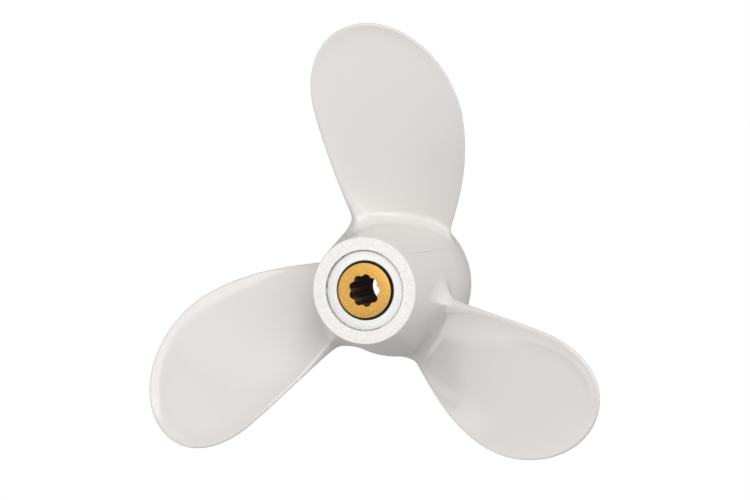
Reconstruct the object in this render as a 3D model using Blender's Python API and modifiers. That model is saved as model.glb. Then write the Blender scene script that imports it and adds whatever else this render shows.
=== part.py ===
"""Outboard propeller: a cast aluminium hub with three blades, a rubber damper and a splined brass bush.

The shaft runs along Z and the aft end points up, so the hub stands on its forward face.
The origin is on the shaft's axis, level with the point where the propeller balances.
A station is a height above the hub's forward face, and all sizes are in metres.
"""

import math

import bmesh
import bpy
import numpy as np

# Driving sizes
DIAMETER = 0.190
BLADE_COUNT = 3
PITCH = 0.1299
HUB_LENGTH = 0.0488
BALANCE_STATION = 0.0275
SEAT_GAP = 0.0003

# Hub: a cone behind the joint and a barrel arc in front of it
HUB_AFT_RADIUS = 0.0192
HUB_TAPER = 0.205
HUB_JOINT_STATION = 0.0195
HUB_BARREL_RADIUS = 0.047
HUB_SIDE_STATIONS = (0.036, 0.028, 0.0195, 0.0155, 0.011, 0.0065)
HUB_AFT_ROUND = 0.0004
HUB_FRONT_ROUND = 0.0018
AFT_RECESS_RADIUS = 0.0145
AFT_RECESS_DEPTH = 0.0012
AFT_HOLE_RADIUS = 0.0107
AFT_LIP_THICKNESS = 0.0062
FRONT_CAVITY_RADIUS = 0.021
FRONT_CAVITY_DEPTH = 0.014
DAMPER_BORE_RADIUS = 0.016

# Bush and damper
BUSH_RADIUS = 0.0098
BUSH_LENGTH = 0.0287
BUSH_SINK = 0.0003
BUSH_CHAMFER = 0.0002
BUSH_COUNTERBORE_RADIUS = 0.0059
SPLINE_LENGTH = 0.0225
SPLINE_COUNT = 9
SPLINE_TOOTH_RADIUS = 0.00506
SPLINE_ROOT_RADIUS = 0.00572
SPLINE_GROOVE_RADIUS = 0.0015
SPLINE_TURN = math.radians(4.3)
DAMPER_FRONT_STATION = 0.0208

# Blade outline: a round tip with a fuller trailing shoulder, and a width that falls in a power curve
# from the widest point to the root
TIP_CIRCLE = 0.0261
WIDEST_RADIUS = DIAMETER / 2 - TIP_CIRCLE
ROOT_RADIUS = 0.0314
ROOT_HALF_WIDTH = 0.0169
WIDTH_POWER = 1.65
SHOULDER = 0.00045

# Blade placing: skew turns the middle line about the axis, and rake lifts it along the axis
FIRST_BLADE_ANGLE = math.radians(90.0)
SKEW_AT_ROOT = math.radians(-8.3)
SKEW_AT_TIP = math.radians(3.45)
SKEW_EXTRA_AT_ROOT = math.radians(-0.9)
SKEW_EXTRA_POWER = 5
RAKE_RADIUS = 0.025
RAKE_ROOT_STATION = 0.0213
RAKE_TIP_STATION = 0.0395
RAKE_BOW = 0.0031

# Blade section: a rounded edge that grows blunt and square at the root, a hollow aft face and a curled
# trailing edge
ROOT_THICKNESS = 0.0080
TIP_THICKNESS = 0.0024
THINNING_POWER = 0.8
FACE_POWER = 1.5
EDGE_RADIUS = 0.0008
EDGE_RADIUS_AT_ROOT = 0.0038
EDGE_SQUARENESS = 0.65
EDGE_FADE = 0.025
CAMBER = 0.0010
TRAILING_CUP = 0.0007
CUP_WIDTH = 0.005
CUP_FULL_ANGLE = math.radians(95.0)
CUP_END_ANGLE = math.radians(160.0)

# Root: the fillet's radius on each face and edge, how far the blade is sunk to join the hub, and the
# station that its foot is cut off at
FILLET_AFT = 0.0042
FILLET_FORWARD_LEADING = 0.0035
FILLET_FORWARD_TRAILING = 0.0049
FILLET_LEADING = 0.0035
FILLET_TRAILING = 0.0053
ROOT_SINK = 0.0010
FOOT_STATION = 0.0005
FILLET_SINK = 0.00015

# Mesh fineness
HUB_STEPS = 72
BUSH_STEPS = 40
GROOVE_SIDES = 12
GROOVE_OVERRUN = 0.001
ROUND_STEPS = 3
FILLET_RIBS = 5
SIDE_RIBS = 10
TIP_RIBS = 13
SECTION_POINTS = 5
EDGE_STEPS = 6
LIFT_ROUNDS = 8
MERGE_DISTANCE = 0.00001
SHARP_ANGLE = math.radians(35.0)


def clear_scene():
    for old in list(bpy.data.objects):
        bpy.data.objects.remove(old, do_unlink=True)


def add_collection(name):
    collection = bpy.data.collections.new(name)
    bpy.context.scene.collection.children.link(collection)
    return collection


def add_material(name, colour, roughness, metallic):
    material = bpy.data.materials.new(name)
    material.use_nodes = True
    shader = material.node_tree.nodes["Principled BSDF"]
    shader.inputs["Base Color"].default_value = (*colour, 1.0)
    shader.inputs["Roughness"].default_value = roughness
    shader.inputs["Metallic"].default_value = metallic
    material.diffuse_color = (*colour, 1.0)
    return material


def add_object(name, mesh, collection, parent):
    thing = bpy.data.objects.new(name, mesh)
    collection.objects.link(thing)
    thing.parent = parent
    return thing


def make_cutter(thing):
    """Marks an operand of a Boolean, which is a guide and not a piece of the object."""
    thing.hide_render = True
    thing.display_type = "WIRE"
    return thing


def corner_round(radius, station, size, start, end):
    """Points of a quarter circle at a profile's corner, about the centre (radius, station)."""
    angles = np.radians(np.linspace(start, end, ROUND_STEPS + 1))
    return list(zip(radius + size * np.cos(angles), station + size * np.sin(angles)))


def turned_ring(name, outline, steps, collection, parent):
    """Turns a closed outline of (radius, station) points about Z with a Screw modifier."""
    mesh = bpy.data.meshes.new(name)
    points = [(radius, 0.0, station) for radius, station in outline]
    edges = [(i, (i + 1) % len(points)) for i in range(len(points))]
    mesh.from_pydata(points, edges, [])
    ring = add_object(name, mesh, collection, parent)
    screw = ring.modifiers.new("Turn", "SCREW")
    screw.axis = "Z"
    screw.angle = math.tau
    screw.steps = steps
    screw.render_steps = steps
    screw.use_merge_vertices = True
    screw.merge_threshold = MERGE_DISTANCE
    return ring


def add_boolean(thing, operation, operand):
    boolean = thing.modifiers.new(operand.name, "BOOLEAN")
    boolean.operation = operation
    boolean.solver = "EXACT"
    boolean.object = operand


def bake(thing, material):
    """Applies the modifiers, then shades the piece smooth up to its sharp edges."""
    bpy.context.view_layer.update()
    evaluated = thing.evaluated_get(bpy.context.evaluated_depsgraph_get())
    mesh = bpy.data.meshes.new_from_object(evaluated)
    thing.modifiers.clear()
    thing.data = mesh
    mesh.materials.clear()
    mesh.materials.append(material)
    mesh.shade_smooth()
    mesh.set_sharp_from_angle(angle=SHARP_ANGLE)


def hub_radius(station):
    """Outer radius of the hub at a station."""
    ahead = np.maximum(HUB_JOINT_STATION - station, 0.0)
    cone = HUB_AFT_RADIUS + (HUB_LENGTH - station) * HUB_TAPER
    return cone - ahead**2 / (2 * HUB_BARREL_RADIUS)


def hub_outline():
    """The hub's section: down the outside from the aft rim, then up through the cavity and the bores."""
    recess_floor = HUB_LENGTH - AFT_RECESS_DEPTH
    lip_front = recess_floor - AFT_LIP_THICKNESS
    aft_round = corner_round(hub_radius(HUB_LENGTH - HUB_AFT_ROUND) - HUB_AFT_ROUND,
                             HUB_LENGTH - HUB_AFT_ROUND, HUB_AFT_ROUND, 90, 0)
    front_round = corner_round(hub_radius(HUB_FRONT_ROUND) - HUB_FRONT_ROUND,
                               HUB_FRONT_ROUND, HUB_FRONT_ROUND, 0, -90)
    side = [(float(hub_radius(station)), station) for station in HUB_SIDE_STATIONS]
    inside = [
        (FRONT_CAVITY_RADIUS, 0.0),
        (FRONT_CAVITY_RADIUS, FRONT_CAVITY_DEPTH),
        (DAMPER_BORE_RADIUS, FRONT_CAVITY_DEPTH),
        (DAMPER_BORE_RADIUS, lip_front),
        (AFT_HOLE_RADIUS, lip_front),
        (AFT_HOLE_RADIUS, recess_floor),
        (AFT_RECESS_RADIUS, recess_floor),
        (AFT_RECESS_RADIUS, HUB_LENGTH),
    ]
    return aft_round + side + front_round + inside


def half_width(radius):
    """Half the blade's width, measured round the arc at a radius inside the tip's circle."""
    inward = np.maximum(WIDEST_RADIUS - radius, 0) / (WIDEST_RADIUS - ROOT_RADIUS)
    return TIP_CIRCLE - (TIP_CIRCLE - ROOT_HALF_WIDTH) * inward**WIDTH_POWER


def skew(radius):
    """Angle of the blade's middle line about the axis."""
    outward = (radius - ROOT_RADIUS) / (DIAMETER / 2 - ROOT_RADIUS)
    extra = SKEW_EXTRA_AT_ROOT * np.clip(1 - outward, 0, 1) ** SKEW_EXTRA_POWER
    return SKEW_AT_ROOT + (SKEW_AT_TIP - SKEW_AT_ROOT) * outward + extra


def rake(radius):
    """Station of the helical surface's generating line."""
    outward = (radius - RAKE_RADIUS) / (DIAMETER / 2 - RAKE_RADIUS)
    straight = RAKE_ROOT_STATION + (RAKE_TIP_STATION - RAKE_ROOT_STATION) * outward
    return straight + 4 * RAKE_BOW * outward * (1 - outward)


def smooth_step(x):
    """Rises from 0 to 1 as x does, level at both ends."""
    x = np.clip(x, 0, 1)
    return x * x * (3 - 2 * x)


def on_blade(across, radius, lift, bow):
    """Turns a place on the flat blade into an angle and a station on the helical blade.

    across runs round the arc from the middle line towards the trailing edge, lift stands off
    the helical surface, and bow bends the section aft.
    """
    lead = PITCH / math.tau
    angle = skew(radius) + across / radius
    helix = np.arctan2(lead, radius)
    station = rake(radius) + lead * angle + bow
    return angle - lift * np.sin(helix) / radius, station + lift * np.cos(helix)


def blade_ribs():
    """Four columns of numbers for the ribs: up the leading side, over the tip, down the trailing side.

    They are the rib's share of the fillet's height and of its flare, how far up the blade it
    is, and its direction. The fillet's ribs stand at equal steps round a quarter circle.
    """
    bend = np.linspace(math.pi / 2, 0, FILLET_RIBS)
    side = np.linspace(0, 1, SIDE_RIBS)[1:]
    fan = np.linspace(math.pi, 0, TIP_RIBS)[1:-1]
    rise = np.concatenate([[0], 1 - np.sin(bend), np.ones(len(side))])
    flare = np.concatenate([[1], 1 - np.cos(bend), np.zeros(len(side))])
    up = np.concatenate([np.zeros(1 + FILLET_RIBS), side])
    leading = np.full(len(up), math.pi)
    return [
        np.concatenate([rise, np.ones(len(fan)), rise[::-1]])[:, None],
        np.concatenate([flare, np.zeros(len(fan)), flare[::-1]])[:, None],
        np.concatenate([up, np.ones(len(fan)), up[::-1]])[:, None],
        np.concatenate([leading, fan, np.zeros(len(up))])[:, None],
    ]


def blade_grid():
    """Corner points of the blade, one row a rib, with the root rows sunk into the hub.

    The ribs run from the middle line to the edge: up the leading side, round the tip's circle
    like a fan, and down the trailing side. Each rib goes out over the aft face, round the edge,
    and back over the forward face. The fillet's radius is shared out between the faces and the
    edges by the squares of the normal's parts. Close to the hub the edge goes from a half round
    towards a square, by a power of the cosine and the sine.
    """
    rise, flare, up, turn = blade_ribs()
    face = 1 - (1 - np.linspace(0, 1, SECTION_POINTS + 1)[:-1]) ** FACE_POWER
    half_turn = np.linspace(math.pi / 2, -math.pi / 2, EDGE_STEPS + 1)
    edgeward = np.concatenate([face, np.ones(EDGE_STEPS + 1), face[::-1]])
    outward_part = np.concatenate([np.zeros(SECTION_POINTS), np.cos(half_turn), np.zeros(SECTION_POINTS)])
    upward_part = np.concatenate([np.ones(SECTION_POINTS), np.sin(half_turn), -np.ones(SECTION_POINTS)])

    leading_side = turn > math.pi / 2
    edge_fillet = np.where(leading_side, FILLET_LEADING, FILLET_TRAILING)
    forward_middle = (FILLET_FORWARD_LEADING + FILLET_FORWARD_TRAILING) / 2
    forward_edge = np.where(leading_side, FILLET_FORWARD_LEADING, FILLET_FORWARD_TRAILING)
    forward = forward_middle + (forward_edge - forward_middle) * edgeward**2
    face_fillet = np.where(upward_part > 0, FILLET_AFT, forward)
    fillet = edge_fillet * outward_part**2 + face_fillet * upward_part**2
    foot = hub_radius(RAKE_ROOT_STATION)
    height = fillet * rise + (WIDEST_RADIUS - foot - fillet) * up - FILLET_SINK * flare
    height[0] = -ROOT_SINK
    height[-1] = -ROOT_SINK
    start = foot + height
    reach = half_width(start) + SHOULDER * np.where(leading_side, 0, np.sin(2 * turn) ** 2)
    blunt = np.clip(1 - height / EDGE_FADE, 0, 1)
    edge = EDGE_RADIUS + (EDGE_RADIUS_AT_ROOT - EDGE_RADIUS) * blunt**2
    power = 1 - EDGE_SQUARENESS * blunt
    beyond = np.maximum(outward_part, 0) ** power
    upward = np.sign(upward_part) * np.abs(upward_part) ** power

    along = (reach - edge) * edgeward + edge * beyond
    radius = start + np.sin(turn) * along
    outward = np.clip((radius - RAKE_RADIUS) / (DIAMETER / 2 - RAKE_RADIUS), 0, 1)
    thickness = ROOT_THICKNESS + (TIP_THICKNESS - ROOT_THICKNESS) * outward**THINNING_POWER
    swell = np.maximum(thickness / 2 - edge, 0) * (1 - edgeward**2) ** FACE_POWER
    strip = np.clip(1 - (1 - edgeward) * (reach - edge) / CUP_WIDTH, 0, 1)
    trailing = smooth_step((CUP_END_ANGLE - turn) / (CUP_END_ANGLE - CUP_FULL_ANGLE))
    hollow = CAMBER * smooth_step(height / EDGE_FADE) * (1 - edgeward**2)
    bow = TRAILING_CUP * trailing * strip**2 - hollow
    across = np.cos(turn) * (along + flare * fillet * beyond)
    lift = upward * (edge + swell + flare * fillet)

    near_hub = 1 - smooth_step(up)
    lifted = radius
    for _ in range(LIFT_ROUNDS):
        station = on_blade(across, lifted, lift, bow)[1]
        lifted = radius + (hub_radius(station) - foot) * near_hub
    angle, station = on_blade(across, lifted, lift, bow)
    station = np.maximum(station, FOOT_STATION)
    return np.stack([lifted * np.cos(angle), lifted * np.sin(angle), station], axis=-1)


def blade_mesh():
    """Lofts the blade's ribs into one closed skin."""
    grid = blade_grid()
    rows, columns = grid.shape[:2]
    shape = bmesh.new()
    corners = [[shape.verts.new(point) for point in row] for row in grid.tolist()]
    for i in range(rows - 1):
        for j in range(columns - 1):
            shape.faces.new((corners[i][j], corners[i + 1][j], corners[i + 1][j + 1], corners[i][j + 1]))
    bmesh.ops.remove_doubles(shape, verts=shape.verts, dist=MERGE_DISTANCE)
    open_edges = [edge for edge in shape.edges if edge.is_boundary]
    bmesh.ops.holes_fill(shape, edges=open_edges)
    bmesh.ops.recalc_face_normals(shape, faces=shape.faces)
    mesh = bpy.data.meshes.new("blade")
    shape.to_mesh(mesh)
    shape.free()
    return mesh


def build_casting(collection, cutters, parent, material):
    """The hub and its blades, one casting."""
    casting = turned_ring("propeller_casting", hub_outline(), HUB_STEPS, collection, parent)
    mesh = blade_mesh()
    for k in range(BLADE_COUNT):
        blade = make_cutter(add_object(f"blade_{k + 1}", mesh, cutters, parent))
        blade.rotation_euler.z = FIRST_BLADE_ANGLE + k * math.tau / BLADE_COUNT
        add_boolean(casting, "UNION", blade)
    bake(casting, material)
    return casting


def build_damper(collection, parent, material):
    """The rubber ring that sits between the hub's bore and the bush."""
    outer = DAMPER_BORE_RADIUS - SEAT_GAP
    inner = BUSH_RADIUS + SEAT_GAP
    aft = HUB_LENGTH - AFT_RECESS_DEPTH - AFT_LIP_THICKNESS - SEAT_GAP
    outline = [(outer, aft), (outer, DAMPER_FRONT_STATION), (inner, DAMPER_FRONT_STATION), (inner, aft)]
    damper = turned_ring("rubber_damper", outline, BUSH_STEPS, collection, parent)
    bake(damper, material)
    return damper


def build_bush(collection, cutters, parent, material):
    """The brass bush: a counterbore from the front, and a bore with round spline grooves aft of it."""
    aft = HUB_LENGTH - BUSH_SINK
    front = aft - BUSH_LENGTH
    spline_front = aft - SPLINE_LENGTH
    outline = [
        (BUSH_RADIUS - BUSH_CHAMFER, aft),
        (BUSH_RADIUS, aft - BUSH_CHAMFER),
        (BUSH_RADIUS, front + BUSH_CHAMFER),
        (BUSH_RADIUS - BUSH_CHAMFER, front),
        (BUSH_COUNTERBORE_RADIUS, front),
        (BUSH_COUNTERBORE_RADIUS, spline_front),
        (SPLINE_TOOTH_RADIUS, spline_front),
        (SPLINE_TOOTH_RADIUS, aft),
    ]
    bush = turned_ring("splined_bush", outline, BUSH_STEPS, collection, parent)
    groove = bmesh.new()
    bmesh.ops.create_cone(groove, cap_ends=True, segments=GROOVE_SIDES, radius1=SPLINE_GROOVE_RADIUS,
                          radius2=SPLINE_GROOVE_RADIUS, depth=SPLINE_LENGTH + 2 * GROOVE_OVERRUN)
    mesh = bpy.data.meshes.new("groove")
    groove.to_mesh(mesh)
    groove.free()
    centre_radius = SPLINE_ROOT_RADIUS - SPLINE_GROOVE_RADIUS
    for k in range(SPLINE_COUNT):
        angle = SPLINE_TURN + k * math.tau / SPLINE_COUNT
        cutter = make_cutter(add_object(f"groove_{k + 1}", mesh, cutters, parent))
        cutter.location = (centre_radius * math.cos(angle), centre_radius * math.sin(angle),
                           aft - SPLINE_LENGTH / 2)
        cutter.rotation_euler.z = angle
        add_boolean(bush, "DIFFERENCE", cutter)
    bake(bush, material)
    return bush


def main():
    clear_scene()
    propeller = add_collection("outboard_propeller")
    cutters = add_collection("propeller_cutters")
    forward_face = bpy.data.objects.new("forward_face", None)
    forward_face.location.z = -BALANCE_STATION
    propeller.objects.link(forward_face)
    paint = add_material("white_paint", (0.76, 0.73, 0.70), 0.30, 0.0)
    rubber = add_material("black_rubber", (0.02, 0.02, 0.02), 0.75, 0.0)
    brass = add_material("brass", (0.66, 0.38, 0.11), 0.35, 1.0)
    build_casting(propeller, cutters, forward_face, paint)
    build_damper(propeller, forward_face, rubber)
    build_bush(propeller, cutters, forward_face, brass)


main()
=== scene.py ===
"""Boat propeller for an outboard motor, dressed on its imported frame.

The frame's solids give the sizes. This file makes the fine surfaces that stand for them: the hub, the
blades, the rubber damper and the splined bush, with their finishes, and the stage they are seen on.
A station is a height above the hub's forward face. Sizes are in metres.
"""

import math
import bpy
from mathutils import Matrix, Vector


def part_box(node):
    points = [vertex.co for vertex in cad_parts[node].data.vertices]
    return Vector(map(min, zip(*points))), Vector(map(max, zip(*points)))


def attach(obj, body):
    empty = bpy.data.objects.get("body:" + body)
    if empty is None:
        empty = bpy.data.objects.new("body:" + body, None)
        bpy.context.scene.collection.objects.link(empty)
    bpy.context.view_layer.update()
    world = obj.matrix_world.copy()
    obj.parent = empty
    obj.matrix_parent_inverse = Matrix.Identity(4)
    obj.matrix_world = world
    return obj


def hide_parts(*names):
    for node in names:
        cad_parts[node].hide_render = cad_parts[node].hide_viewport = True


bl_info = {
    "name": "Boat Propeller",
    "version": (1, 0, 0),
    "blender": (4, 5, 0),
    "location": "View3D > Sidebar > Propeller",
    "description": "Builds a painted outboard propeller with a rubber damper and a splined brass bush",
    "category": "Add Mesh",
}

import bmesh
import bpy
import numpy as np
from bpy.props import FloatProperty, FloatVectorProperty, IntProperty, PointerProperty
from mathutils import Matrix, Vector

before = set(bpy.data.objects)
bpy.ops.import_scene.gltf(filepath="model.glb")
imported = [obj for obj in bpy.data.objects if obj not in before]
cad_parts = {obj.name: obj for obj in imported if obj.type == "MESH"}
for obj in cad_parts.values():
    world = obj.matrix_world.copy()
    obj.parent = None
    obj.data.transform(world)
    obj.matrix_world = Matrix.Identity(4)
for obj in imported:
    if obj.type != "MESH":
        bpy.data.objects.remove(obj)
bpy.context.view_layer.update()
CASTING_LOW, CASTING_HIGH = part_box("propeller_casting")
BUSH_LOW, BUSH_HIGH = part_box("splined_bush")
DAMPER_LOW, DAMPER_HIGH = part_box("rubber_damper")
FORWARD_FACE = CASTING_LOW.z

# Numbers of the finishes in the pieces' material lists
PAINT, RIM, RECESS, JOINT = range(4)
BRASS, OXIDE_AND_SHADE = range(2)

# Fineness of the meshes
HUB_STEPS = 288
BUSH_STEPS = 180
SPLINE_STEPS = 40
SIDE_ROWS = 40
FILLET_ROWS = 12
TIP_ROWS = 72
FACE_POINTS = 18
EDGE_POINTS = 17
ROUND_STEPS = 9
DISH_POINTS = 9

# Small details of the hub, the bush and the damper
SMALL_ROUND = 0.00015
INNER_ROUND = 0.0006
STEP_GROOVE_WIDTH = 0.0005
STEP_GROOVE_DEPTH = 0.00015
NECK_SLACK = 0.00004
DAMPER_DISH = 0.0012
CHAMFER_BULGE = 0.3

# How a blade's section swells and thins, how the points of its faces crowd towards the edge, how its
# skew grows and where its trailing edge curls
SWELL_POWER = 1.5
THINNING_POWER = 0.8
CROWDING_POWER = 1.5
SKEW_POWER = 5
CUP_FULL = math.radians(95)
CUP_END = math.radians(160)

# How a blade's foot meets the hub: the depth of its lowest rib, the lowest station it may have, the
# depth and the width of the skirt under the hub's surface, the depth of the fillet's ribs, and the
# rounds that seat them there
ROOT_SINK = 0.0006
FOOT_STATION = 0.0005
SKIRT_DROP = 0.00004
SKIRT_WIDTH = 0.0008
MESH_SLACK = 0.000005
LIFT_ROUNDS = 8

# Points closer than this are one point, and edges sharper than this aren't shaded smooth
WELD_DISTANCE = 0.000002
SHARP_ANGLE = math.radians(40)

# Lines painted into the hub's paint as light: the first, darker, is a painted reflection line, and the
# second, lighter, is a painted highlight where a ridge would catch the light. Each gives the middle's
# angle, the lean, the bow and the curl in degrees, the middle's station, the length along the shaft,
# and how the line changes the paint's tone
PAINTED_LIGHT_LINES = (
    (38.6, 3.4, 3.2, 3.5, 0.0325, 0.030, 0.76),
    (-9.8, 2.4, 0.0, 0.0, 0.0414, 0.013, 1.12),
)

# Where a painted light line starts to fade, as a share of the way from its middle to its end, and how
# much of it is left where noise breaks it up most
LIGHT_LINE_FADE = 0.85
LIGHT_LINE_LEFT = 0.35

# Where the painted shade of the bore's grooves starts, as a share of the way from a tooth's tip to a
# groove's bottom, how far a tip is lightened towards the palest tone, where streaks do the rest, and
# the oxide's shine
GROOVE_SHADE_DEPTH = 0.75
TOOTH_LIGHT_SHARE = 0.75
OXIDE_SHINE = 0.2

# How finely the finishes' patterns repeat, for each metre
PAINT_DRIFT = 28.0
PAINT_PEEL = 330.0
PAINT_HAZE = 420.0
LIGHT_LINE_BREAKUP = 260.0
RIM_GRAIN = 2600.0
RIM_BLOTCH = 700.0
RECESS_GRAIN = 3000.0
JOINT_PATCH = 500.0
BRASS_BLOTCH = 1900.0
BRASS_WOBBLE = 160.0
BRASS_STREAK = 9000.0
BORE_STREAK = (900.0, 900.0, 60.0)
RUBBER_GRAIN = 1800.0

# Rings left by the turning tool, in radians for each metre out from the shaft, how far the brass's
# wander, and how high the recess's stand beside its grain
RECESS_RINGS = 24000.0
BRASS_RINGS = 21000.0
RING_WANDER = 0.0004
RING_SHARE = 0.35

# The darkest and the palest tone of each finish, and the brass's dull tone, as factors of its colour
PAINT_TONES = (0.985, 1.012)
RIM_TONES = (0.86, 1.10)
RECESS_TONES = (0.92, 1.05)
JOINT_TONES = (0.6, 1.4)
BORE_TONES = (0.35, 2.3)
RUBBER_TONES = (0.7, 1.5)
BRASS_DULL = 0.80

# The least and the most roughness of the finishes that vary, and how far the gloss paint strays from
# its own
RIM_ROUGHNESS = (0.42, 0.6)
JOINT_ROUGHNESS = (0.6, 0.8)
BRASS_ROUGHNESS = (0.48, 0.66)
BORE_ROUGHNESS = (0.6, 0.8)
RUBBER_ROUGHNESS = (0.6, 0.85)
PAINT_STRAY = (-0.03, 0.04)

# Heights of the finishes' relief
PEEL_HEIGHT = 0.00002
RIM_HEIGHT = 0.00006
RECESS_HEIGHT = 0.00004
BRASS_HEIGHT = 0.000006
RUBBER_HEIGHT = 0.00003

# Stage
FLOOR_HALF = 30.0
FLOOR_DROP = 0.00005
BOX_DISTANCE = 2.0
SENSOR_WIDTH = 36.0

# Each soft box's name, azimuth and elevation in degrees, width in metres and power in watts
SOFT_BOXES = (
    ("key_box", 45, 55, 2.0, 36.5),
    ("upper_box", 90, 40, 1.6, 4.8),
    ("right_box", 0, 12, 1.2, 9.5),
    ("left_box", 180, 40, 2.0, 8.5),
    ("low_left_box", 180, 12, 1.2, 4.2),
    ("lower_box", 225, 12, 1.2, 8.7),
)


# Settings

def size(name, text, default):
    """A length in metres."""
    return FloatProperty(name=name, description=text, default=default, unit="LENGTH", precision=5)


def angle(name, text, degrees):
    """An angle, given in degrees and kept in radians."""
    return FloatProperty(name=name, description=text, default=math.radians(degrees), subtype="ANGLE")


def colour(name, text, default):
    """A linear colour."""
    return FloatVectorProperty(name=name, description=text, default=default, subtype="COLOR",
                               min=0.0, max=1.0)


def share(name, text, default):
    """A number from 0 to 1."""
    return FloatProperty(name=name, description=text, default=default, min=0.0, max=1.0, subtype="FACTOR")


class HubSizes(bpy.types.PropertyGroup):
    """The hub's turned shape."""

    length: size("Length", "From the forward face to the aft rim", CASTING_HIGH.z - CASTING_LOW.z)
    aft_radius: size("Aft radius", "Radius that the cone would reach at the aft rim", 0.0192)
    taper: share("Taper", "Radius gained for each unit of length on the cone", 0.205)
    joint: size("Joint", "Station where the cone meets the barrel", 0.0195)
    barrel_radius: size("Barrel radius", "Radius of the barrel's arc", 0.047)
    aft_round: size("Aft rounding", "Rounding of the aft rim", 0.0004)
    front_round: size("Front rounding", "Rounding of the forward rim", 0.0018)
    recess_radius: size("Recess radius", "Radius of the shallow step in the aft rim", 0.0145)
    recess_depth: size("Recess depth", "Depth of the shallow step", 0.0012)
    hole_radius: size("Hole radius", "Radius of the hole round the bush", 0.0107)
    lip: size("Lip", "Thickness of the wall that holds the damper in", 0.0062)
    cavity_radius: size("Cavity radius", "Radius of the forward cavity", 0.021)
    cavity_depth: size("Cavity depth", "Depth of the forward cavity", 0.014)
    bore_radius: size("Bore radius", "Radius of the bore that holds the damper", 0.016)


class BladeSizes(bpy.types.PropertyGroup):
    """The blades' outline, twist and section."""

    count: IntProperty(name="Count", description="Number of blades", default=3, min=2, max=6)
    diameter: size("Diameter", "Across the circle of the tips", 0.190)
    pitch: size("Pitch", "Advance in one turn", 0.1299)
    first: angle("First blade", "Angle of the first blade about the shaft", 90.0)
    tip_circle: size("Tip circle", "Radius of the rounded tip", 0.0261)
    root_radius: size("Root radius", "Where the root half width is measured", 0.0314)
    root_half_width: size("Root half width", "Half the width at the root radius", 0.0169)
    width_power: FloatProperty(name="Width power", description="How fast the width falls to the root",
                               default=1.65)
    skew_root: angle("Skew at root", "Angle of the middle line at the root radius", -8.3)
    skew_tip: angle("Skew at tip", "Angle of the middle line at the tip", 3.45)
    skew_extra: angle("Extra skew", "More skew close to the root", -0.9)
    shoulder: size("Shoulder", "How far the trailing shoulder stands out of the tip circle", 0.00045)
    rake_radius: size("Rake radius", "Where the rake starts", 0.025)
    rake_root: size("Rake at root", "Station of the generating line at the rake radius", 0.0213)
    rake_tip: size("Rake at tip", "Station of the generating line at the tip", 0.0395)
    rake_bow: size("Rake bow", "How far the generating line bows aft halfway", 0.0031)
    root_thickness: size("Root thickness", "Thickness of the section at the root", 0.0080)
    tip_thickness: size("Tip thickness", "Thickness of the section at the tip", 0.0024)
    edge_radius: size("Edge radius", "Rounding of the blade's edge", 0.0008)
    edge_root: size("Root edge radius", "Rounding of the blade's edge at the hub", 0.0038)
    edge_fade: size("Edge fade", "Height above the hub where the edge reaches its own rounding", 0.025)
    edge_square: share("Edge squareness", "How square the edge's half round gets at the hub", 0.65)
    camber: size("Camber", "Hollow of the aft face", 0.0010)
    cup: size("Cup", "How far the trailing edge curls aft", 0.0007)
    cup_width: size("Cup width", "Width of the curled strip", 0.0050)
    fillet_aft: size("Aft fillet", "Radius of the root's fillet on the aft face", 0.0042)
    forward_leading: size("Forward leading fillet", "Forward face, on the leading side", 0.0035)
    forward_trailing: size("Forward trailing fillet", "Forward face, on the trailing side", 0.0049)
    fillet_leading: size("Leading fillet", "Radius of the root's fillet at the leading edge", 0.0035)
    fillet_trailing: size("Trailing fillet", "Radius of the root's fillet at the trailing edge", 0.0053)


class BushSizes(bpy.types.PropertyGroup):
    """The splined bush and the rubber round it."""

    radius: size("Radius", "Outer radius of the bush", 0.0098)
    chamfer: size("Chamfer", "Chamfer of the outer corners", 0.0002)
    counterbore: size("Counterbore radius", "Radius of the plain bore in front of the splines", 0.0059)
    spline_length: size("Spline length", "Length of the splines from the aft face", 0.0225)
    spline_count: IntProperty(name="Splines", description="Number of grooves", default=9, min=4)
    tooth_radius: size("Tooth radius", "Radius at the tips of the teeth", 0.00506)
    root_radius: size("Groove depth radius", "Radius at the bottom of the grooves", 0.00572)
    groove_radius: size("Groove radius", "Radius of a groove's round bottom", 0.0015)
    turn: angle("Spline turn", "Angle of the first groove", 4.3)
    neck_drop: size("Neck drop", "How far the rubber's neck lies under the recess floor", 0.0011)


class Finishes(bpy.types.PropertyGroup):
    """Colours and gloss of the surfaces."""

    paint: colour("Paint", "Gloss paint of the blades and the hub", (0.66, 0.635, 0.615))
    paint_roughness: share("Paint roughness", "Roughness of the gloss paint", 0.12)
    rim: colour("Rim", "Grainy paint on the aft rim", (0.795, 0.775, 0.755))
    recess: colour("Recess", "Turned and painted step round the bush", (0.82, 0.825, 0.81))
    # The darker colour of the step's corner and groove
    joint: colour("Joint", "Grime in the corner of the step", (0.42, 0.42, 0.40))
    brass: colour("Brass", "Turned face of the bush", (0.84, 0.46, 0.09))
    brass_pale: colour("Pale brass", "Rubbed patches of the bush's face", (0.88, 0.58, 0.19))
    # The bore's colour: dark oxide, and painted shade of the deep bore
    bore: colour("Bore", "Dark oxide and grease in the splined bore", (0.050, 0.027, 0.011))
    rubber: colour("Rubber", "Rubber of the damper", (0.016, 0.015, 0.015))
    # Width of the painted reflection line and the painted highlight line on the hub
    light_line_width: size("Mark width", "Width of the flow marks in the hub's paint", 0.0009)


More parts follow.
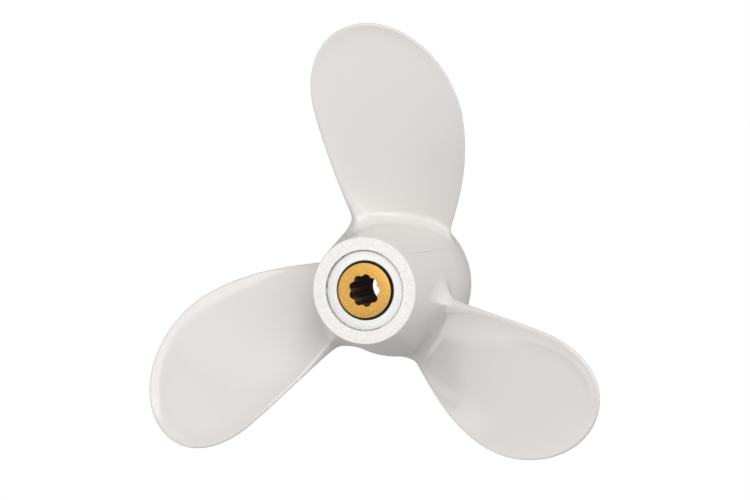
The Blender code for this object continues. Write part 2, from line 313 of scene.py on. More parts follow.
class StageSettings(bpy.types.PropertyGroup):
    """Floor, light and camera."""

    floor: colour("Floor", "Pale floor as the camera sees it", (1.0, 1.0, 1.0))
    bounce: colour("Bounce", "The floor's colour as it lights the propeller", (0.30, 0.30, 0.30))
    mirrored: share("Mirrored", "How much of the floor's brightness shows in the gloss", 0.30)
    dome: FloatProperty(name="Dome", description="Strength of the even light all round", default=0.30)
    azimuth: angle("Azimuth", "Direction of the camera round the shaft", 103.37)
    elevation: angle("Elevation", "Height of the camera above the horizon", 71.89)
    roll: angle("Roll", "Turn of the camera about its own axis", -100.24)
    distance: size("Distance", "From the camera to the point it looks at", 2.2272)
    lens: FloatProperty(name="Lens", description="Focal length", default=297.8, subtype="DISTANCE_CAMERA")
    aim_x: size("Aim X", "Where the camera looks, along X", -0.00336)
    aim_y: size("Aim Y", "Where the camera looks, along Y", 0.0131)


# Surfaces

def smooth_step(x):
    """Rises from 0 to 1 as x goes from 0 to 1, level at both ends: three x squared less two x cubed."""
    x = np.clip(x, 0, 1)
    return x * x * (3 - 2 * x)


def grid_faces(rows, columns, closed_rows, closed_columns):
    """Quads between neighbouring rows and columns of a grid, as vertex numbers.

    They face outwards where the rows run down a shape's outside and the columns anticlockwise round it.
    """
    i = np.arange(rows if closed_rows else rows - 1)[:, None]
    j = np.arange(columns if closed_columns else columns - 1)[None, :]
    below, right = (i + 1) % rows, (j + 1) % columns
    corners = (i * columns + j, below * columns + j, below * columns + right, i * columns + right)
    return np.stack([np.broadcast_to(c, (i.size, j.size)).ravel() for c in corners], axis=-1)


def mesh_piece(name, points, faces, zones=None):
    """Puts a grid's points and quads into a mesh, shaded smooth up to its sharp edges."""
    mesh = bpy.data.meshes.new(name)
    mesh.from_pydata(points.reshape(-1, 3), [], faces)
    if zones is not None:
        mesh.polygons.foreach_set("material_index", zones.astype(np.int32))
    mesh.shade_smooth()
    mesh.set_sharp_from_angle(angle=SHARP_ANGLE)
    piece = bpy.data.objects.new(name, mesh)
    bpy.context.scene.collection.objects.link(piece)
    return piece


def close_mesh(mesh):
    """Welds the seams and poles of a grid, and closes the hole at its foot."""
    shape = bmesh.new()
    shape.from_mesh(mesh)
    bmesh.ops.remove_doubles(shape, verts=shape.verts, dist=WELD_DISTANCE)
    bmesh.ops.holes_fill(shape, edges=[edge for edge in shape.edges if edge.is_boundary])
    bmesh.ops.recalc_face_normals(shape, faces=shape.faces)
    shape.to_mesh(mesh)
    shape.free()


def finish_piece(piece, slot, node, *materials):
    """Gives a piece its materials, lets it ride on the propeller's body and puts it in a node's place."""
    for material in materials:
        piece.data.materials.append(material)
    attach(piece, "root")
    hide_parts(node)


def revolve(outline, steps):
    """Surface of revolution: the outline's point (r, s) at turn t is (r cos t, r sin t, s)."""
    turn = np.linspace(0, math.tau, steps, endpoint=False)
    radius, station = np.asarray(outline, float).T
    x = radius[:, None] * np.cos(turn)
    y = radius[:, None] * np.sin(turn)
    z = np.broadcast_to(station[:, None] + FORWARD_FACE, x.shape)
    return np.stack([x, y, z], axis=-1)


def corner_round(radius, station, bend, start, end, steps):
    """Points of an arc of radius bend about (radius, station), from one angle in degrees to another."""
    angles = np.radians(np.linspace(start, end, steps))
    return np.stack([radius + bend * np.cos(angles), station + bend * np.sin(angles)], axis=-1)


def hub_radius(hub, station):
    """The cone's straight line, less the barrel's drop: the square of the way past the joint over 2 R."""
    ahead = np.maximum(hub.joint - station, 0.0)
    return hub.aft_radius + (hub.length - station) * hub.taper - ahead**2 / (2 * hub.barrel_radius)


def hub_outline(hub):
    """The hub's closed section and the finish of each stretch of it.

    It runs down the outside from the aft rim, up the cavity and the bore, round the lip, and out over
    the recess to the rim.
    """
    top = hub.length
    floor = top - hub.recess_depth
    lip = floor - hub.lip
    aft = hub.aft_round
    front = hub.front_round
    side = np.linspace(top - aft, front, SIDE_ROWS)[1:-1]
    mouth = hub.cavity_radius + INNER_ROUND
    ceiling = hub.cavity_depth - front
    parts = [
        (PAINT, corner_round(hub_radius(hub, top - aft) - aft, top - aft, aft, 90, 0, ROUND_STEPS)),
        (PAINT, np.stack([hub_radius(hub, side), side], axis=-1)),
        (PAINT, corner_round(hub_radius(hub, front) - front, front, front, 0, -90, ROUND_STEPS)),
        (PAINT, corner_round(mouth, INNER_ROUND, INNER_ROUND, 270, 180, ROUND_STEPS)),
        (PAINT, corner_round(hub.cavity_radius - front, ceiling, front, 0, 90, ROUND_STEPS)),
        (RECESS, [(hub.bore_radius + INNER_ROUND, hub.cavity_depth)]),
        (RECESS, [(hub.bore_radius, hub.cavity_depth + INNER_ROUND), (hub.bore_radius, lip)]),
        (RECESS, [(hub.hole_radius, lip), (hub.hole_radius, floor - SMALL_ROUND)]),
        (RECESS, [(hub.hole_radius + SMALL_ROUND, floor)]),
        (JOINT, [(hub.recess_radius - STEP_GROOVE_WIDTH, floor)]),
        (JOINT, [(hub.recess_radius - STEP_GROOVE_WIDTH / 2, floor - STEP_GROOVE_DEPTH)]),
        (JOINT, [(hub.recess_radius, floor - STEP_GROOVE_DEPTH)]),
        (RIM, [(hub.recess_radius, top - SMALL_ROUND), (hub.recess_radius + SMALL_ROUND, top)]),
    ]
    points = np.concatenate([np.asarray(points, float) for _, points in parts])
    zones = np.concatenate([np.full(len(points), zone) for zone, points in parts])
    return points, zones


def half_width(blade, radius):
    """Half the blade's arc width: the tip circle, less a power of the way in from the widest point."""
    widest = blade.diameter / 2 - blade.tip_circle
    inward = np.maximum(widest - radius, 0) / (widest - blade.root_radius)
    return blade.tip_circle - (blade.tip_circle - blade.root_half_width) * inward**blade.width_power


def skew(blade, radius):
    """Angle of the middle line: a straight run from root to tip, and a fifth power close to the root."""
    outward = (radius - blade.root_radius) / (blade.diameter / 2 - blade.root_radius)
    extra = blade.skew_extra * np.clip(1 - outward, 0, 1) ** SKEW_POWER
    return blade.skew_root + (blade.skew_tip - blade.skew_root) * outward + extra


def outward_share(blade, radius):
    """0 at the rake radius and 1 at the tip, in a straight line."""
    return (radius - blade.rake_radius) / (blade.diameter / 2 - blade.rake_radius)


def rake(blade, radius):
    """Station of the generating line: straight from root to tip, and bowed aft as a parabola."""
    out = outward_share(blade, radius)
    straight = blade.rake_root + (blade.rake_tip - blade.rake_root) * out
    return straight + 4 * blade.rake_bow * out * (1 - out)


def on_blade(blade, across, radius, lift, bow):
    """Carries a place on the flat blade onto the helix, and gives its angle and its station.

    It turns by the skew and by the arc across over the radius, and rises by the rake, the bow and the
    lead times that turn. Then it stands off by lift along the helix's normal, which leans by the
    helix's angle, whose tangent is the lead over the radius.
    """
    lead = blade.pitch / math.tau
    turn = skew(blade, radius) + across / radius
    helix = np.arctan2(lead, radius)
    station = rake(blade, radius) + lead * turn + bow + lift * np.cos(helix)
    return turn - lift * np.sin(helix) / radius, station


def blade_ribs():
    """Five columns of numbers for the ribs, up the leading side, over the tip and down the trailing side.

    They are the share of the fillet's height, the share of its flare, how far up the blade the rib is,
    how deep it lies under the hub's surface, and its direction. The fillet's ribs stand at equal steps
    round its quarter circle, with shares 1 - sin a and 1 - cos a. The two ribs under them make a skirt
    that dips just below the hub's surface.
    """
    bend = np.linspace(math.pi / 2, 0, FILLET_ROWS)
    side = np.linspace(0, 1, SIDE_ROWS)[1:]
    rise = np.concatenate([[0, 0], 1 - np.sin(bend), np.ones(len(side))])
    flare = np.concatenate([[1, 1], 1 - np.cos(bend), np.zeros(len(side))])
    up = np.concatenate([np.zeros(2 + FILLET_ROWS), side])
    skirt = [ROOT_SINK, SKIRT_DROP]
    drop = np.concatenate([skirt, np.full(FILLET_ROWS, MESH_SLACK), np.zeros(len(side))])
    leading = np.full(len(rise), math.pi)
    fan = np.linspace(math.pi, 0, TIP_ROWS)[1:-1]
    turn = np.concatenate([leading, fan, np.zeros(len(rise))])
    rise = np.concatenate([rise, np.ones(len(fan)), rise[::-1]])
    flare = np.concatenate([flare, np.zeros(len(fan)), flare[::-1]])
    up = np.concatenate([up, np.ones(len(fan)), up[::-1]])
    drop = np.concatenate([drop, np.zeros(len(fan)), drop[::-1]])
    return [column[:, None] for column in (rise, flare, up, drop, turn)]


def section_points():
    """Three rows of numbers for a section's points, out over the aft face, round the edge and back.

    They are how far the point is from the middle line, and how far the section's normal points outward
    and aft there. The face's points lie closer together towards the edge.
    """
    face = 1 - (1 - np.linspace(0, 1, FACE_POINTS + 1)[:-1]) ** CROWDING_POWER
    half_turn = np.linspace(math.pi / 2, -math.pi / 2, EDGE_POINTS)
    level = np.zeros(FACE_POINTS)
    edgeward = np.concatenate([face, np.ones(EDGE_POINTS), face[::-1]])
    outward = np.concatenate([level, np.cos(half_turn), level])
    aftward = np.concatenate([level + 1, np.sin(half_turn), level - 1])
    return edgeward, outward, aftward


def root_fillet(blade, leading, edgeward, outward, aftward):
    """Radius of the root's fillet at each point of each section.

    Each face and edge has a radius of its own, shared out by the squares of the normal's parts. On the
    forward face the radius goes from the mean of its two edges' to the nearer edge's own, by the square
    of the way from the middle line.
    """
    edge = np.where(leading, blade.fillet_leading, blade.fillet_trailing)
    forward = (blade.forward_leading + blade.forward_trailing) / 2
    forward_edge = np.where(leading, blade.forward_leading, blade.forward_trailing)
    face = np.where(aftward > 0, blade.fillet_aft, forward + (forward_edge - forward) * edgeward**2)
    return edge * outward**2 + face * aftward**2


def blade_grid(hub, blade):
    """Points of one blade, ribs by section points, as their radius, their angle and their station.

    With b the way from the middle line to the edge, half the thickness is the edge's radius plus a
    swelling of (1 - b squared) to the power 1.5. Round the edge the section follows the cosine and sine
    of a half turn, to a power that goes from 1 far from the hub to less at it, where the edge is nearly
    square. The aft face is hollowed by the camber times (1 - b squared), which fades out at the root,
    and the trailing edge curls aft by the square of the way into its strip. The trailing shoulder
    stands out of the tip circle by the squared sine of twice the rib's angle. Near the hub each point
    moves out by as much as the hub is wider at its station than at the rake's root station, which
    changes its station in turn, so it is worked out in rounds. No point lies under the foot's station.
    """
    rise, flare, up, drop, turn = blade_ribs()
    edgeward, outward, aftward = section_points()
    fillet = root_fillet(blade, turn > math.pi / 2, edgeward, outward, aftward)
    flare = flare * (fillet + SKIRT_WIDTH * (drop > MESH_SLACK))

    foot = hub_radius(hub, blade.rake_root)
    span = blade.diameter / 2 - blade.tip_circle - foot
    start = foot + (fillet * rise + (span - fillet) * up - drop)
    shoulder = np.where(turn < math.pi / 2, np.sin(2 * turn) ** 2, 0)
    reach = half_width(blade, start) + blade.shoulder * shoulder
    blunt = np.clip(1 - (start - foot) / blade.edge_fade, 0, 1)
    edge = blade.edge_radius + (blade.edge_root - blade.edge_radius) * blunt**2
    power = 1 - blade.edge_square * blunt
    beyond = np.maximum(outward, 0) ** power
    aside = np.sign(aftward) * np.abs(aftward) ** power
    along = (reach - edge) * edgeward + edge * beyond
    radius = start + np.sin(turn) * along
    thinned = np.clip(outward_share(blade, radius), 0, 1) ** THINNING_POWER
    thickness = blade.root_thickness + (blade.tip_thickness - blade.root_thickness) * thinned
    crown = 1 - edgeward**2
    swell = np.maximum(thickness / 2 - edge, 0) * crown**SWELL_POWER
    strip = np.clip(1 - (1 - edgeward) * (reach - edge) / blade.cup_width, 0, 1)
    trailing = smooth_step((CUP_END - turn) / (CUP_END - CUP_FULL))
    camber = blade.camber * smooth_step((start - foot) / blade.edge_fade)
    bow = blade.cup * trailing * strip**2 - camber * crown
    across = np.cos(turn) * (along + flare * beyond)
    lift = aside * (edge + swell + flare)

    near_hub = 1 - smooth_step(up)
    lifted = radius
    for _ in range(LIFT_ROUNDS):
        station = on_blade(blade, across, lifted, lift, bow)[1]
        lifted = radius + (hub_radius(hub, station) - foot) * near_hub
    angle_there, station = on_blade(blade, across, lifted, lift, bow)
    return lifted, angle_there, np.maximum(station, FOOT_STATION)


def spline_radius(bush, turn):
    """Radius of the bore at an angle: the far side of the nearest groove's circle, or the tooth's tip.

    With the groove's centre at c, its radius g and the angle d from its middle, the far side is at
    c cos d + the root of (g squared - c squared sin squared d).
    """
    spacing = math.tau / bush.spline_count
    centre = bush.root_radius - bush.groove_radius
    aside = (turn - bush.turn + spacing / 2) % spacing - spacing / 2
    inside = bush.groove_radius**2 - (centre * np.sin(aside)) ** 2
    groove = centre * np.cos(aside) + np.sqrt(np.maximum(inside, 0))
    return np.where(inside > 0, np.maximum(groove, bush.tooth_radius), bush.tooth_radius)


def bush_grid(bush):
    """Rings of the bush: down its outside, up the counterbore, up the splines and out over the aft face.

    Each ring has one station, and its radius is a number or the splined bore's radius plus a margin.
    Its finish is that of the stretch that follows it.
    """
    turn = np.linspace(0, math.tau, SPLINE_STEPS * bush.spline_count, endpoint=False)
    bore = spline_radius(bush, turn)
    top = BUSH_HIGH.z - FORWARD_FACE
    front = BUSH_LOW.z - FORWARD_FACE
    step = top - bush.spline_length
    edge = bush.chamfer
    bulge = edge * CHAMFER_BULGE
    rings = [
        (BRASS, bush.radius - edge, top),
        (BRASS, bush.radius - bulge, top - bulge),
        # The bush's outside, in the gap round it, takes the bore's dark finish as painted shade
        (OXIDE_AND_SHADE, bush.radius, top - edge),
        (BRASS, bush.radius, front + edge),
        (BRASS, bush.radius - edge, front),
        (BRASS, bush.counterbore + edge, front),
        (OXIDE_AND_SHADE, bush.counterbore, front + edge),
        (OXIDE_AND_SHADE, bush.counterbore, step),
        (OXIDE_AND_SHADE, bore + SMALL_ROUND, step),
        (OXIDE_AND_SHADE, bore, step + SMALL_ROUND),
        (OXIDE_AND_SHADE, bore, top - SMALL_ROUND),
        (BRASS, bore + SMALL_ROUND, top),
    ]
    radius = np.stack([np.broadcast_to(radius, turn.shape) for _, radius, _ in rings])
    station = np.array([[station] for _, _, station in rings])
    z = np.broadcast_to(station + FORWARD_FACE, radius.shape)
    points = np.stack([radius * np.cos(turn), radius * np.sin(turn), z], axis=-1)
    return points, np.array([zone for zone, _, _ in rings])


def damper_outline(hub, bush):
    """The rubber's closed section: a thick sleeve, with a thin neck up the gap round the bush.

    The sleeve's forward end is hollowed aft by a half wave of the sine.
    """
    outer = DAMPER_HIGH.x
    low = DAMPER_LOW.z - FORWARD_FACE
    high = DAMPER_HIGH.z - FORWARD_FACE
    neck_top = hub.length - hub.recess_depth - bush.neck_drop
    neck_outer = hub.hole_radius - NECK_SLACK
    inner = bush.radius + NECK_SLACK
    dish = np.linspace(0, math.pi, DISH_POINTS)
    middle = (outer + inner) / 2
    half = (outer - inner) / 2
    end = np.stack([middle + half * np.cos(dish), low + DAMPER_DISH * np.sin(dish)], axis=-1)
    return np.concatenate([
        [(neck_outer, neck_top), (neck_outer, high)],
        [(outer - SMALL_ROUND, high), (outer, high - SMALL_ROUND)],
        end,
        [(inner, neck_top)],
    ])


# Finishes

class Graph:
    """A material's nodes, with each new node joined to the values or sockets it is given."""

    def __init__(self, name):
        self.material = bpy.data.materials.new(name)
        self.material.use_nodes = True
        self.nodes = self.material.node_tree.nodes
        self.links = self.material.node_tree.links
        self.shader = self.nodes["Principled BSDF"]
        self.place = self.nodes.new("ShaderNodeTexCoord").outputs["Object"]

    def join(self, value, socket):
        """Links a socket to another, or sets its value."""
        if isinstance(value, bpy.types.NodeSocket):
            self.links.new(value, socket)
        else:
            socket.default_value = value

    def add(self, kind, inputs, output=0, **settings):
        """Makes a node with its settings and inputs, and gives one of its outputs."""
        node = self.nodes.new("ShaderNode" + kind)
        for key, value in settings.items():
            setattr(node, key, value)
        for key, value in inputs.items():
            self.join(value, node.inputs[key])
        return node.outputs[output]

    def noise(self, scale, detail=2.0, place=None):
        """Noise that repeats about so many times for each metre."""
        inputs = {"Vector": place or self.place, "Scale": scale, "Detail": detail}
        return self.add("TexNoise", inputs, "Fac")

    def spread(self, value, low=0.0, high=1.0, start=0.3, end=0.7):
        """Stretches a value from its own range, by default that of noise, to low and high."""
        inputs = {"Value": value, "From Min": start, "From Max": end, "To Min": low, "To Max": high}
        return self.add("MapRange", inputs)

    def mix(self, amount, first, second):
        """The first colour where the amount is 0, and the second where it is 1.

        The node's inputs 6 and 7 are its two colours, and its output 2 is their mix.
        """
        if not isinstance(first, bpy.types.NodeSocket):
            first = (*first, 1.0)
        if not isinstance(second, bpy.types.NodeSocket):
            second = (*second, 1.0)
        return self.add("Mix", {0: amount, 6: first, 7: second}, 2, data_type="RGBA")

    def tones(self, amount, rgb, ends):
        """A colour that goes from its darkest tone to its palest as the amount goes from 0 to 1."""
        darkest, palest = ends
        return self.mix(amount, tone(rgb, darkest), tone(rgb, palest))

    def math(self, operation, first, second=0.0, third=0.0):
        """One step of arithmetic on up to three values."""
        return self.add("Math", {0: first, 1: second, 2: third}, operation=operation)

    def bump(self, height, distance, strength):
        """The surface's normal, tilted by a relief of this height."""
        return self.add("Bump", {"Height": height, "Distance": distance, "Strength": strength})

    def from_axis(self):
        """Distance from the shaft's axis."""
        flat = self.add("VectorMath", {0: self.place, 1: (1.0, 1.0, 0.0)}, operation="MULTIPLY")
        return self.add("VectorMath", {0: flat}, "Value", operation="LENGTH")

    def finish(self, **sockets):
        """Joins values or sockets to the shader's inputs by their names, and gives the material."""
        for key, value in sockets.items():
            self.join(value, self.shader.inputs[key.replace("_", " ").title()])
        return self.material


def tone(rgb, factor):
    """The same colour, lighter or darker."""
    return tuple(min(channel * factor, 1.0) for channel in rgb)


def painted_light_line(graph, width, course, station, length):
    """How much of a painted light line is here: 1 on a thin curve along the hub, and 0 beside it.

    With u going from -1 to 1 along the line, the curve's angle about the shaft is a cubic in u, whose
    terms are the course's four angles. The line fades to each side and at its ends, and noise breaks
    it up in places.
    """
    parts = graph.nodes.new("ShaderNodeSeparateXYZ")
    graph.links.new(graph.place, parts.inputs[0])
    height = graph.math("SUBTRACT", parts.outputs["Z"], station + FORWARD_FACE)
    along = graph.math("DIVIDE", height, length / 2)
    here = graph.math("ARCTAN2", parts.outputs["Y"], parts.outputs["X"])
    curve, *terms = [math.radians(degrees) for degrees in reversed(course)]
    for term in terms:
        curve = graph.math("MULTIPLY_ADD", curve, along, term)
    aside = graph.math("ABSOLUTE", graph.math("SUBTRACT", here, curve))
    away = graph.math("MULTIPLY", aside, graph.from_axis())
    across = graph.spread(away, 1.0, 0.0, start=0.0, end=width / 2)
    ends = graph.spread(graph.math("ABSOLUTE", along), 1.0, 0.0, start=LIGHT_LINE_FADE, end=1.0)
    patchy = graph.spread(graph.noise(LIGHT_LINE_BREAKUP), low=LIGHT_LINE_LEFT)
    return graph.math("MULTIPLY", graph.math("MULTIPLY", across, ends), patchy)


def gloss_paint(finish, with_light_lines=False):
    """Sprayed gloss paint: broad drifts in tone, the ripple of orange peel and, on the hub, a painted
    reflection line and a painted highlight line.
    """
    graph = Graph("white_gloss_paint")
    drift = graph.spread(graph.noise(PAINT_DRIFT, detail=3.0))
    base = graph.tones(drift, finish.paint, PAINT_TONES)
    glossiest, dullest = (finish.paint_roughness + stray for stray in PAINT_STRAY)
    rough = graph.spread(graph.noise(PAINT_HAZE), glossiest, dullest)
    height = graph.noise(PAINT_PEEL, detail=1.0)
    marks = PAINTED_LIGHT_LINES if with_light_lines else ()
    # On the hub: a darker painted reflection line and a lighter painted highlight line, each also a
    # shallow groove in the relief
    for *course, station, length, factor in marks:
        light_line = painted_light_line(graph, finish.light_line_width, course, station, length)
        base = graph.mix(light_line, base, tone(finish.paint, factor))
        height = graph.math("SUBTRACT", height, light_line)
    peel = graph.bump(height, PEEL_HEIGHT, strength=0.35)
    return graph.finish(base_color=base, roughness=rough, normal=peel)


def rim_paint(finish):
    """Grainy paint over a blasted face: fine bright specks, broader blotches and a dull surface."""
    graph = Graph("grainy_rim_paint")
    grain = graph.noise(RIM_GRAIN, detail=3.0)
    fine = graph.math("MULTIPLY", grain, 0.5)
    mottle = graph.math("MULTIPLY_ADD", graph.noise(RIM_BLOTCH), 0.5, fine)
    base = graph.tones(graph.spread(mottle), finish.rim, RIM_TONES)
    rough = graph.spread(grain, *RIM_ROUGHNESS)
    normal = graph.bump(grain, RIM_HEIGHT, strength=0.5)
    return graph.finish(base_color=base, roughness=rough, normal=normal)


def recess_paint(finish):
    """A faced step under thin paint: rings of the turning tool, broken by fine specks."""
    graph = Graph("turned_recess_paint")
    grain = graph.noise(RECESS_GRAIN, detail=3.0)
    rings = graph.math("SINE", graph.math("MULTIPLY", graph.from_axis(), RECESS_RINGS))
    marks = graph.math("ADD", graph.math("MULTIPLY", rings, RING_SHARE), grain)
    base = graph.tones(graph.spread(grain), finish.recess, RECESS_TONES)
    normal = graph.bump(marks, RECESS_HEIGHT, strength=0.5)
    return graph.finish(base_color=base, roughness=0.42, normal=normal)


def dark_step_corner(finish):
    """Darker colour in the step's corner and groove, in patches of darker and paler tone and varying
    roughness.
    """
    graph = Graph("dark_step_corner")
    patch = graph.noise(JOINT_PATCH, detail=3.0)
    base = graph.tones(graph.spread(patch), finish.joint, JOINT_TONES)
    return graph.finish(base_color=base, roughness=graph.spread(patch, *JOINT_ROUGHNESS))


def brass(finish):
    """Faced brass: fine rings about the axis, which drift in tone and shine, under rubbed blotches."""
    graph = Graph("turned_brass")
    wobble = graph.math("MULTIPLY", graph.noise(BRASS_WOBBLE), RING_WANDER)
    radius = graph.math("ADD", graph.from_axis(), wobble)
    rings = graph.math("SINE", graph.math("MULTIPLY", radius, BRASS_RINGS))
    out = graph.add("CombineXYZ", {"X": graph.math("MULTIPLY", radius, BRASS_STREAK)})
    streak = graph.noise(1.0, detail=3.0, place=out)
    blotch = graph.spread(graph.noise(BRASS_BLOTCH, detail=3.0))
    tint = graph.math("MULTIPLY_ADD", streak, 0.5, graph.math("MULTIPLY", blotch, 0.5))
    patchy = graph.mix(blotch, finish.brass, finish.brass_pale)
    base = graph.mix(graph.spread(tint), tone(finish.brass, BRASS_DULL), patchy)
    rough = graph.spread(tint, *BRASS_ROUGHNESS)
    normal = graph.bump(graph.math("ADD", rings, streak), BRASS_HEIGHT, strength=0.8)
    return graph.finish(base_color=base, roughness=rough, metallic=0.85, normal=normal)


def oxide_and_shaded_bore(finish, bush):
    """Brass dark with oxide and with painted shade deep in the bore: grooves painted darker than the
    teeth, in long streaks.
    """
    graph = Graph("oxide_and_shaded_bore")
    along = graph.add("VectorMath", {0: graph.place, 1: BORE_STREAK}, operation="MULTIPLY")
    streak = graph.noise(1.0, detail=3.0, place=along)
    # The grooves are painted darker than the teeth, as painted shade in them
    groove_shade_start = (1 - GROOVE_SHADE_DEPTH) * bush.tooth_radius + GROOVE_SHADE_DEPTH * bush.root_radius
    tooth_light = graph.spread(graph.from_axis(), TOOTH_LIGHT_SHARE, 0.0, start=bush.tooth_radius, end=groove_shade_start)
    tint = graph.math("MULTIPLY_ADD", graph.spread(streak), 1 - TOOTH_LIGHT_SHARE, tooth_light)
    base = graph.tones(tint, finish.bore, BORE_TONES)
    graph.shader.inputs["Specular IOR Level"].default_value = OXIDE_SHINE
    return graph.finish(base_color=base, roughness=graph.spread(streak, *BORE_ROUGHNESS))


def rubber(finish):
    """Moulded rubber: nearly black, dull, with a fine matt skin."""
    graph = Graph("black_rubber")
    grain = graph.noise(RUBBER_GRAIN, detail=4.0)
    base = graph.tones(graph.spread(grain), finish.rubber, RUBBER_TONES)
    rough = graph.spread(grain, *RUBBER_ROUGHNESS)
    normal = graph.bump(grain, RUBBER_HEIGHT, strength=0.4)
    return graph.finish(base_color=base, roughness=rough, normal=normal)


def backlit_floor(stage):
    """A pale table lit from below: plain to the camera, and fainter in the gloss and as a bounce."""
    graph = Graph("pale_floor")
    glow = graph.nodes.new("ShaderNodeEmission")
    glow.inputs["Color"].default_value = (*stage.floor, 1.0)
    path = graph.nodes.new("ShaderNodeLightPath")
    blend = graph.nodes.new("ShaderNodeMixShader")
    mirrored = graph.math("MULTIPLY", path.outputs["Is Glossy Ray"], stage.mirrored)
    graph.links.new(graph.math("MAXIMUM", path.outputs["Is Camera Ray"], mirrored), blend.inputs[0])
    graph.links.new(graph.shader.outputs[0], blend.inputs[1])
    graph.links.new(glow.outputs[0], blend.inputs[2])
    graph.links.new(blend.outputs[0], graph.nodes["Material Output"].inputs["Surface"])
    return graph.finish(base_color=(*stage.bounce, 1.0), roughness=1.0)


# Operators

class PROPELLER_OT_hub(bpy.types.Operator):
    """Makes the hub by turning its section about the shaft"""

    bl_idname = "propeller.make_hub"
    bl_label = "Make hub"

    def execute(self, context):
        finish = context.scene.finishes
        outline, zones = hub_outline(context.scene.hub_sizes)
        points = revolve(outline, HUB_STEPS)
        faces = grid_faces(len(outline), HUB_STEPS, closed_rows=True, closed_columns=True)
        hub = mesh_piece("hub", points, faces, np.repeat(zones, HUB_STEPS))
        paint = gloss_paint(finish, with_light_lines=True)
        others = (rim_paint(finish), recess_paint(finish), dark_step_corner(finish))
        finish_piece(hub, "white_paint", "propeller_casting", paint, *others)
        return {"FINISHED"}


class PROPELLER_OT_blades(bpy.types.Operator):
    """Makes the blades, each a copy of the first turned about the shaft"""

    bl_idname = "propeller.make_blades"
    bl_label = "Make blades"

    def execute(self, context):
        scene = context.scene
        blade = scene.blade_sizes
        radius, turn, station = blade_grid(scene.hub_sizes, blade)
        rows, columns = radius.shape
        starts = blade.first + math.tau * np.arange(blade.count)[:, None, None] / blade.count
        x = radius * np.cos(turn + starts)
        y = radius * np.sin(turn + starts)
        z = np.broadcast_to(station + FORWARD_FACE, x.shape)
        faces = grid_faces(rows, columns, closed_rows=False, closed_columns=False)
        offsets = rows * columns * np.arange(blade.count)[:, None, None]
        blades = mesh_piece("blades", np.stack([x, y, z], axis=-1), (faces + offsets).reshape(-1, 4))
        close_mesh(blades.data)
        finish_piece(blades, "white_paint", "propeller_casting", gloss_paint(scene.finishes))
        return {"FINISHED"}


class PROPELLER_OT_damper(bpy.types.Operator):
    """Makes the rubber sleeve that holds the bush in the hub"""

    bl_idname = "propeller.make_damper"
    bl_label = "Make damper"

    def execute(self, context):
        scene = context.scene
        outline = damper_outline(scene.hub_sizes, scene.bush_sizes)
        points = revolve(outline, BUSH_STEPS)
        faces = grid_faces(len(outline), BUSH_STEPS, closed_rows=True, closed_columns=True)
        damper = mesh_piece("damper", points, faces)
        finish_piece(damper, "black_rubber", "rubber_damper", rubber(scene.finishes))
        return {"FINISHED"}


class PROPELLER_OT_bush(bpy.types.Operator):
    """Makes the brass bush with its splined bore"""

    bl_idname = "propeller.make_bush"
    bl_label = "Make bush"

    def execute(self, context):
        scene = context.scene
        points, zones = bush_grid(scene.bush_sizes)
        rows, columns = points.shape[:2]
        faces = grid_faces(rows, columns, closed_rows=True, closed_columns=True)
        bush = mesh_piece("bush", points, faces, np.repeat(zones, columns))
        materials = (brass(scene.finishes), oxide_and_shaded_bore(scene.finishes, scene.bush_sizes))
        finish_piece(bush, "brass", "splined_bush", *materials)
        return {"FINISHED"}


class PROPELLER_OT_stage(bpy.types.Operator):
    """Makes the pale floor, the soft light and the camera"""

    bl_idname = "propeller.make_stage"
    bl_label = "Make stage"

    def execute(self, context):
        stage = context.scene.stage_settings
        make_floor(stage)
        make_dome(stage)
        for name, azimuth, elevation, width, power in SOFT_BOXES:
            make_soft_box(name, math.radians(azimuth), math.radians(elevation), width, power)
        make_camera(stage)
        context.scene.view_settings.view_transform = "Standard"
        return {"FINISHED"}


def make_floor(stage):
    """One square, just under the hub's forward face."""
    corners = np.array([(-1, -1), (1, -1), (1, 1), (-1, 1)]) * FLOOR_HALF
    mesh = bpy.data.meshes.new("floor")
    mesh.from_pydata([(x, y, FORWARD_FACE - FLOOR_DROP) for x, y in corners], [], [(0, 1, 2, 3)])
    floor = bpy.data.objects.new("floor", mesh)
    bpy.context.scene.collection.objects.link(floor)
    mesh.materials.append(backlit_floor(stage))


def make_dome(stage):
    """Even light from all round, seen plain white by the camera."""
    world = bpy.data.worlds.new("dome")
    bpy.context.scene.world = world
    world.use_nodes = True
    nodes, links = world.node_tree.nodes, world.node_tree.links
    glow = nodes["Background"]
    path = nodes.new("ShaderNodeLightPath")
    strength = nodes.new("ShaderNodeMix")
    strength.inputs["A"].default_value = stage.dome
    strength.inputs["B"].default_value = 1.0
    links.new(path.outputs["Is Camera Ray"], strength.inputs["Factor"])
    links.new(strength.outputs["Result"], glow.inputs["Strength"])
    glow.inputs["Color"].default_value = (1.0, 1.0, 1.0, 1.0)


def make_soft_box(name, azimuth, elevation, width, power):
    """A square light that faces the propeller from an azimuth and an elevation."""
    light = bpy.data.lights.new(name, "AREA")
    light.shape = "SQUARE"
    light.size = width
    light.energy = power
    level = math.cos(elevation)
    way = Vector((math.cos(azimuth) * level, math.sin(azimuth) * level, math.sin(elevation)))
    lamp = bpy.data.objects.new(name, light)
    lamp.location = way * BOX_DISTANCE
    lamp.rotation_euler = way.to_track_quat("Z", "Y").to_euler()
    lamp.visible_camera = False
    bpy.context.scene.collection.objects.link(lamp)


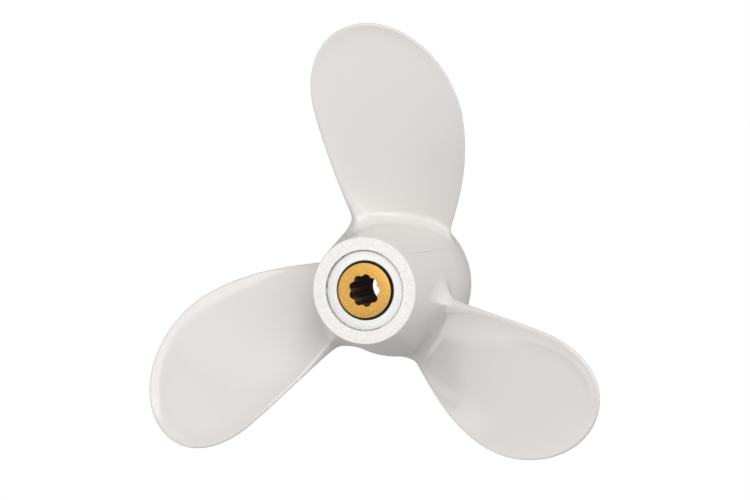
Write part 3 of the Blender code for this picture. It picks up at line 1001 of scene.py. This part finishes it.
def make_camera(stage):
    """Looks at the aim point from its azimuth and elevation, then rolls about its own axis."""
    camera = bpy.data.objects.new("camera", bpy.data.cameras.new("camera"))
    camera.data.lens = stage.lens
    camera.data.sensor_width = SENSOR_WIDTH
    turn = Matrix.Rotation(stage.azimuth, 4, "Z") @ Matrix.Rotation(math.pi / 2 - stage.elevation, 4, "X")
    turn = turn @ Matrix.Rotation(stage.roll, 4, "Z")
    aim = Vector((stage.aim_x, stage.aim_y, 0.0))
    camera.matrix_world = Matrix.Translation(aim + turn.to_3x3() @ Vector((0, 0, stage.distance))) @ turn
    bpy.context.scene.collection.objects.link(camera)
    bpy.context.scene.camera = camera


class PROPELLER_PT_panel(bpy.types.Panel):
    """Lists the steps that make the propeller and its stage."""

    bl_label = "Boat Propeller"
    bl_idname = "PROPELLER_PT_panel"
    bl_space_type = "VIEW_3D"
    bl_region_type = "UI"
    bl_category = "Propeller"

    def draw(self, context):
        for operator in OPERATORS:
            self.layout.operator(operator.bl_idname)
        for name in GROUPS:
            box = self.layout.box()
            settings = getattr(context.scene, name)
            box.label(text=name.replace("_", " ").capitalize())
            for key in settings.__annotations__:
                box.prop(settings, key)


GROUPS = {
    "hub_sizes": HubSizes,
    "blade_sizes": BladeSizes,
    "bush_sizes": BushSizes,
    "finishes": Finishes,
    "stage_settings": StageSettings,
}
OPERATORS = (
    PROPELLER_OT_hub,
    PROPELLER_OT_blades,
    PROPELLER_OT_damper,
    PROPELLER_OT_bush,
    PROPELLER_OT_stage,
)
CLASSES = (*GROUPS.values(), *OPERATORS, PROPELLER_PT_panel)


def register():
    """Makes the settings, the operators and the panel known to Blender."""
    for part in CLASSES:
        bpy.utils.register_class(part)
    for name, group in GROUPS.items():
        setattr(bpy.types.Scene, name, PointerProperty(type=group))


def unregister():
    """Takes them away again, in the opposite order."""
    for name in GROUPS:
        delattr(bpy.types.Scene, name)
    for part in reversed(CLASSES):
        bpy.utils.unregister_class(part)


def main():
    """Makes the pieces and the stage."""
    register()
    bpy.ops.propeller.make_hub()
    bpy.ops.propeller.make_blades()
    bpy.ops.propeller.make_damper()
    bpy.ops.propeller.make_bush()
    bpy.ops.propeller.make_stage()


if __name__ == "__main__":
    main()
